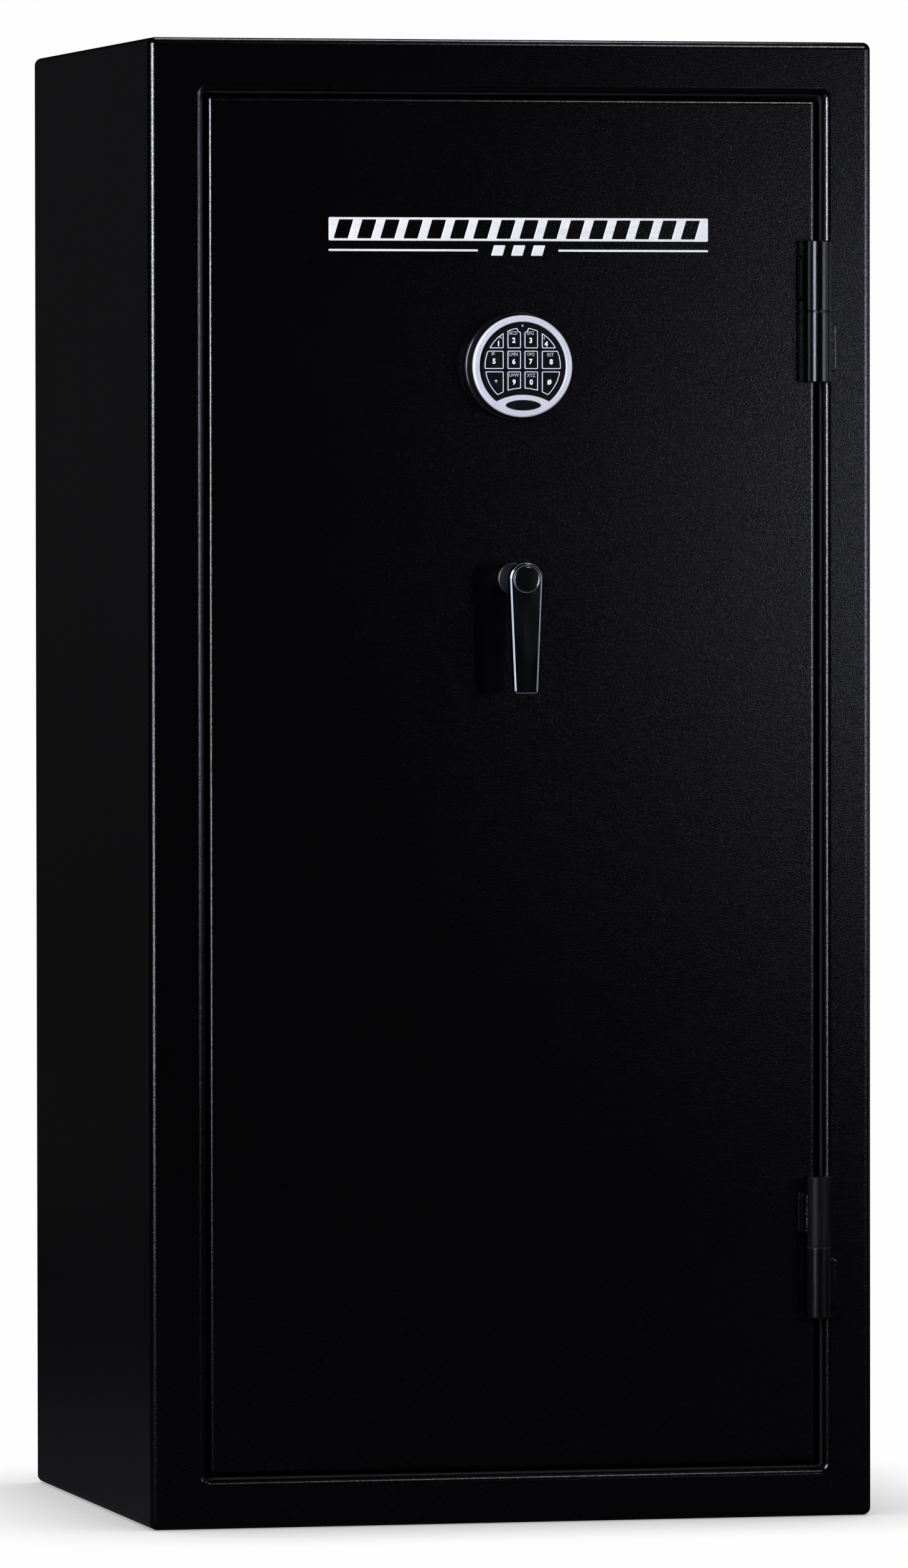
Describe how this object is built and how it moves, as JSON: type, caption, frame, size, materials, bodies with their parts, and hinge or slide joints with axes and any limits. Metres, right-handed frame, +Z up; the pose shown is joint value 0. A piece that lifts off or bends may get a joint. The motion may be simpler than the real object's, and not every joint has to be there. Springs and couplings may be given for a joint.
{
  "type": "gun safe",
  "caption": "Upright steel gun safe with a recessed hinged door on external barrel hinges, keypad lock, lever handle, cam-driven bolts and a carpeted interior.",
  "frame": {"origin": "middle of the underside of the body, on the floor", "axes": "+Z up; the door faces -Y; +X is the hinge side, on the right seen from the front"},
  "size_m": [0.762, 0.6616, 1.524],
  "materials": {
    "black_powder_coat": "fine textured near-black powder coat, satin",
    "hinge_black": "semi-gloss black paint over welded steel",
    "zinc_steel": "zinc plated steel",
    "brass": "turned brass",
    "fire_board": "paper-faced gypsum fire board",
    "carpet": "short grey pile",
    "carpeted_board": "board covered in short grey pile",
    "seal_rubber": "matt black heat-expanding seal",
    "hard_steel": "ground hardened plate",
    "polished_steel": "polished steel",
    "silver_trim": "satin silver",
    "keypad_plastic": "fine-grained black plastic",
    "key_plastic": "black membrane with light outlines",
    "status_lens": "clear indicator lens",
    "black_nickel": "polished black nickel"
  },
  "bodies": {
    "cabinet": {"body_shell": "black_powder_coat", "back_panel": "black_powder_coat", "fireboard_bottom": "fire_board", "fireboard_top": "fire_board", "fireboard_left": "fire_board", "fireboard_right": "fire_board", "fireboard_back": "fire_board", "carpet_lining": "carpet", "door_seal": "seal_rubber", "divider_panel": "carpeted_board", "top_shelf": "carpeted_board", "side_shelf_upper": "carpeted_board", "side_shelf_lower": "carpeted_board", "barrel_rest": "carpeted_board", "butt_rest": "carpeted_board", "frame_knuckle_upper": "hinge_black", "hinge_pin_upper": "zinc_steel", "hinge_washer_upper": "brass", "frame_knuckle_lower": "hinge_black", "hinge_pin_lower": "zinc_steel", "hinge_washer_lower": "brass"},
    "door": {"door_knuckle_upper": "hinge_black", "door_knuckle_lower": "hinge_black", "door_face": "black_powder_coat", "door_chassis": "black_powder_coat", "door_fireboard": "fire_board", "hard_plate": "hard_steel", "door_liner": "carpeted_board", "fixed_bolt_bar": "polished_steel", "emblem_grille": "silver_trim", "keypad_base": "keypad_plastic", "keypad_bezel": "silver_trim", "keypad_face": "keypad_plastic", "status_led": "status_lens", "handle_rosette": "black_nickel", "lock_case": "zinc_steel"},
    "handle": {"handle_lever": "black_nickel", "handle_cap": "black_nickel", "handle_spindle": "zinc_steel", "drive_cam": "zinc_steel"},
    "latch_bolts": {"latch_bolt_bar": "zinc_steel", "latch_bolt_1": "polished_steel", "latch_bolt_2": "polished_steel", "latch_bolt_3": "polished_steel", "latch_bolt_4": "polished_steel"},
    "top_bolt": {"top_bolt_rod": "polished_steel"},
    "bottom_bolt": {"bottom_bolt_rod": "polished_steel"},
    "lock_bolt": {"lock_bolt": "brass"},
    "key_0": {"key_0": "key_plastic"},
    "key_1": {"key_1": "key_plastic"},
    "key_2": {"key_2": "key_plastic"},
    "key_3": {"key_3": "key_plastic"},
    "key_4": {"key_4": "key_plastic"},
    "key_5": {"key_5": "key_plastic"},
    "key_6": {"key_6": "key_plastic"},
    "key_7": {"key_7": "key_plastic"},
    "key_8": {"key_8": "key_plastic"},
    "key_9": {"key_9": "key_plastic"},
    "key_star": {"key_star": "key_plastic"},
    "key_hash": {"key_hash": "key_plastic"}
  },
  "joints": [
    {"name": "door_swing", "type": "hinge", "parent": "cabinet", "child": "door", "pos_m": [0.3224, -0.313, 0.7], "axis": [0, 0, 1], "range_deg": [0, 180]},
    {"name": "handle_turn", "type": "hinge", "parent": "door", "child": "handle", "pos_m": [0.002, -0.297, 0.9713], "axis": [0, -1, 0], "range_deg": [0, 90]},
    {"name": "latch_bolt_throw", "type": "slide", "parent": "door", "child": "latch_bolts", "axis": [-1, 0, 0], "range_m": [0, 0.03]},
    {"name": "top_bolt_throw", "type": "slide", "parent": "door", "child": "top_bolt", "axis": [0, 0, 1], "range_m": [0, 0.03]},
    {"name": "bottom_bolt_throw", "type": "slide", "parent": "door", "child": "bottom_bolt", "axis": [0, 0, -1], "range_m": [0, 0.03]},
    {"name": "lock_bolt_drop", "type": "slide", "parent": "door", "child": "lock_bolt", "axis": [0, 0, -1], "range_m": [0, 0.01]},
    {"name": "key_0_press", "type": "slide", "parent": "door", "child": "key_0", "axis": [0, 1, 0], "range_m": [0, 0.0008], "stiffness_N_per_m": 2000},
    {"name": "key_1_press", "type": "slide", "parent": "door", "child": "key_1", "axis": [0, 1, 0], "range_m": [0, 0.0008], "stiffness_N_per_m": 2000},
    {"name": "key_2_press", "type": "slide", "parent": "door", "child": "key_2", "axis": [0, 1, 0], "range_m": [0, 0.0008], "stiffness_N_per_m": 2000},
    {"name": "key_3_press", "type": "slide", "parent": "door", "child": "key_3", "axis": [0, 1, 0], "range_m": [0, 0.0008], "stiffness_N_per_m": 2000},
    {"name": "key_4_press", "type": "slide", "parent": "door", "child": "key_4", "axis": [0, 1, 0], "range_m": [0, 0.0008], "stiffness_N_per_m": 2000},
    {"name": "key_5_press", "type": "slide", "parent": "door", "child": "key_5", "axis": [0, 1, 0], "range_m": [0, 0.0008], "stiffness_N_per_m": 2000},
    {"name": "key_6_press", "type": "slide", "parent": "door", "child": "key_6", "axis": [0, 1, 0], "range_m": [0, 0.0008], "stiffness_N_per_m": 2000},
    {"name": "key_7_press", "type": "slide", "parent": "door", "child": "key_7", "axis": [0, 1, 0], "range_m": [0, 0.0008], "stiffness_N_per_m": 2000},
    {"name": "key_8_press", "type": "slide", "parent": "door", "child": "key_8", "axis": [0, 1, 0], "range_m": [0, 0.0008], "stiffness_N_per_m": 2000},
    {"name": "key_9_press", "type": "slide", "parent": "door", "child": "key_9", "axis": [0, 1, 0], "range_m": [0, 0.0008], "stiffness_N_per_m": 2000},
    {"name": "key_star_press", "type": "slide", "parent": "door", "child": "key_star", "axis": [0, 1, 0], "range_m": [0, 0.0008], "stiffness_N_per_m": 2000},
    {"name": "key_hash_press", "type": "slide", "parent": "door", "child": "key_hash", "axis": [0, 1, 0], "range_m": [0, 0.0008], "stiffness_N_per_m": 2000}
  ],
  "couplings": [
    {"joint": "latch_bolt_throw", "follows": "handle_turn", "m_per_rad": 0.019098},
    {"joint": "top_bolt_throw", "follows": "handle_turn", "m_per_rad": 0.019098},
    {"joint": "bottom_bolt_throw", "follows": "handle_turn", "m_per_rad": 0.019098}
  ]
}
